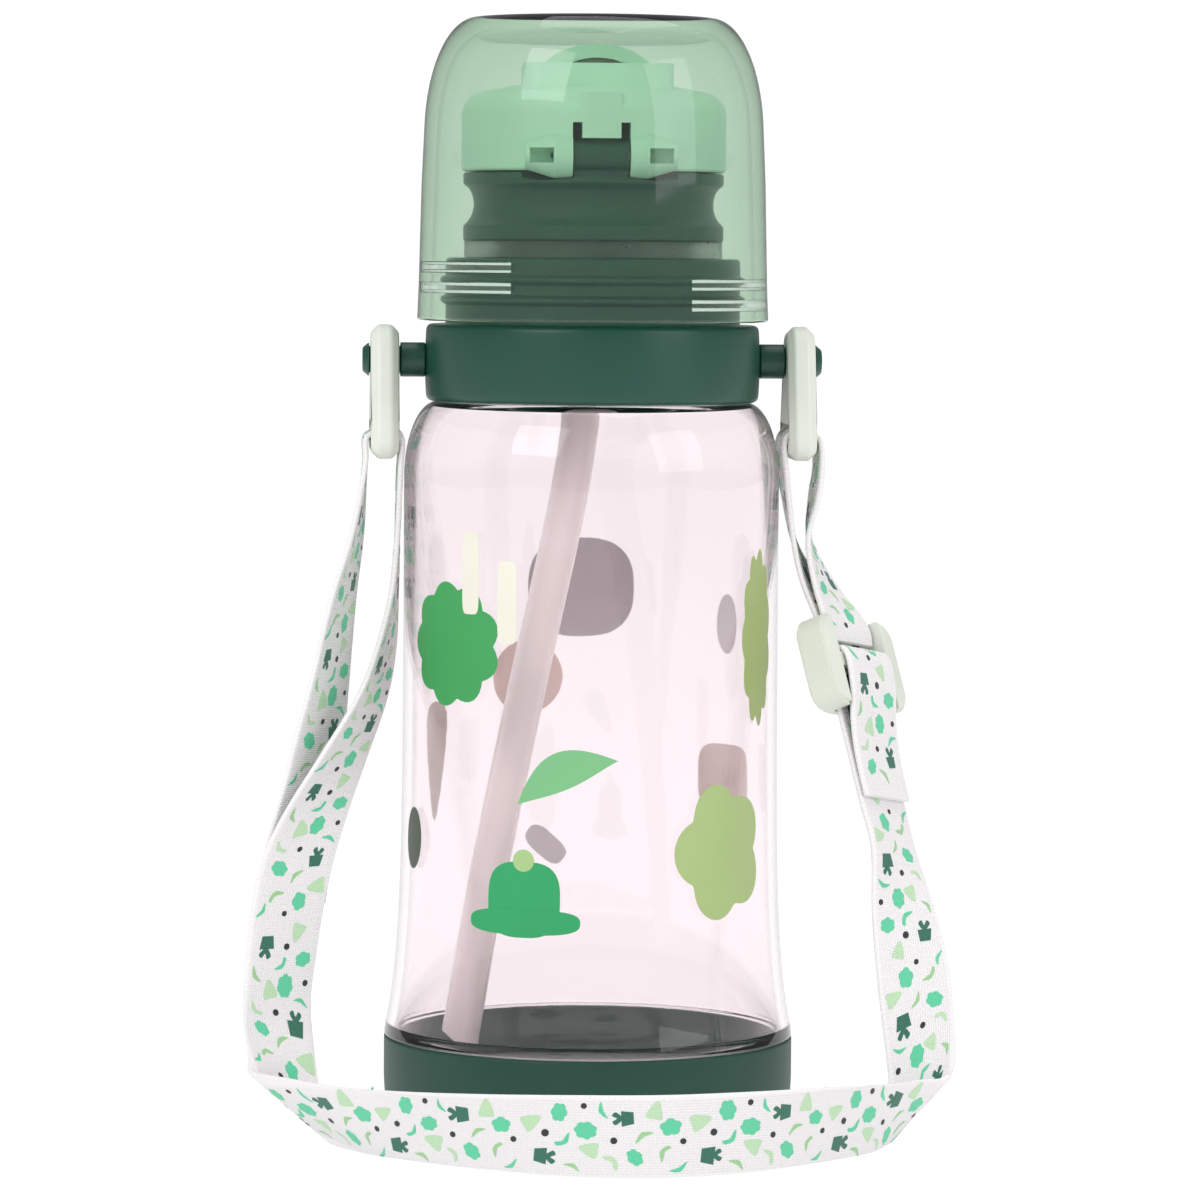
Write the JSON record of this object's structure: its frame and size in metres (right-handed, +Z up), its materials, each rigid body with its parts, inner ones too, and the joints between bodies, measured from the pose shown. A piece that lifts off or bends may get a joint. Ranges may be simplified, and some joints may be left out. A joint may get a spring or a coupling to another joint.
{
  "type": "kids water bottle",
  "caption": "Clear kids' water bottle with a soft boot, flip-cap drinking lid with straw, tinted cup over the top, and a printed webbing shoulder strap on side clips.",
  "frame": {"origin": "centre of the boot's flat underside, on the surface that the bottle stands on", "axes": "+Z up along the bottle, -Y towards the cap's hinge and the strap's front, +X towards the strap's buckle"},
  "size_m": [0.1274, 0.1221, 0.2],
  "materials": {
    "clear_body": "clear, very slightly pink",
    "soft_green": "soft satin",
    "green_plastic": "satin",
    "white_silicone": "soft matte",
    "clear_silicone": "clear",
    "steel": "ground",
    "straw_plastic": "translucent",
    "mint_plastic": "satin",
    "grey_rubber": "matte",
    "tinted_cup": "clear green",
    "sage_plastic": "satin",
    "webbing": "printed satin weave"
  },
  "bodies": {
    "bottle": {"bottle_body": "clear_body", "base_boot": "soft_green", "collar": "green_plastic", "body_seal": "white_silicone", "stud_left": "green_plastic", "stud_right": "green_plastic"},
    "lid": {"drink_lid": "green_plastic", "lid_gasket": "clear_silicone", "spout": "white_silicone", "vent_valve": "white_silicone", "straw_sleeve": "white_silicone", "hinge_pin": "steel"},
    "straw": {"straw": "straw_plastic"},
    "flip_cap": {"flip_cap": "mint_plastic", "cap_seal": "white_silicone", "cap_insert": "grey_rubber"},
    "cup": {"cup": "tinted_cup"},
    "strap": {"clip_left": "sage_plastic", "clip_right": "sage_plastic", "strap_main": "webbing", "strap_left_end": "webbing", "strap_right_end": "webbing"},
    "buckle": {"strap_buckle": "sage_plastic", "strap_tail": "webbing"}
  },
  "joints": [
    {"name": "lid_lift", "type": "slide", "parent": "bottle", "child": "lid", "axis": [0, 0, 1], "range_m": [0, 0.15]},
    {"name": "straw_swing", "type": "hinge", "parent": "lid", "child": "straw", "pos_m": [0, 0.0015, 0.1429], "axis": [0, -1, 0], "range_deg": [0, 10]},
    {"name": "cup_lift", "type": "slide", "parent": "lid", "child": "cup", "axis": [0, 0, 1], "range_m": [0, 0.18]},
    {"name": "cap_flip", "type": "hinge", "parent": "lid", "child": "flip_cap", "pos_m": [0, -0.0213, 0.1746], "axis": [1, 0, 0], "range_deg": [0, 105]},
    {"name": "strap_swing", "type": "hinge", "parent": "bottle", "child": "strap", "pos_m": [0, 0, 0.13757], "axis": [-1, 0, 0], "range_deg": [0, 280]},
    {"name": "buckle_slide", "type": "slide", "parent": "strap", "child": "buckle", "axis": [0.2062, -0.3436, -0.9162], "range_m": [0, 0.008]}
  ],
  "couplings": [
    {"joint": "straw_swing", "follows": "lid_lift", "rad_per_m": 1.1635},
    {"joint": "cap_flip", "follows": "cup_lift", "rad_per_m": 10.18}
  ]
}
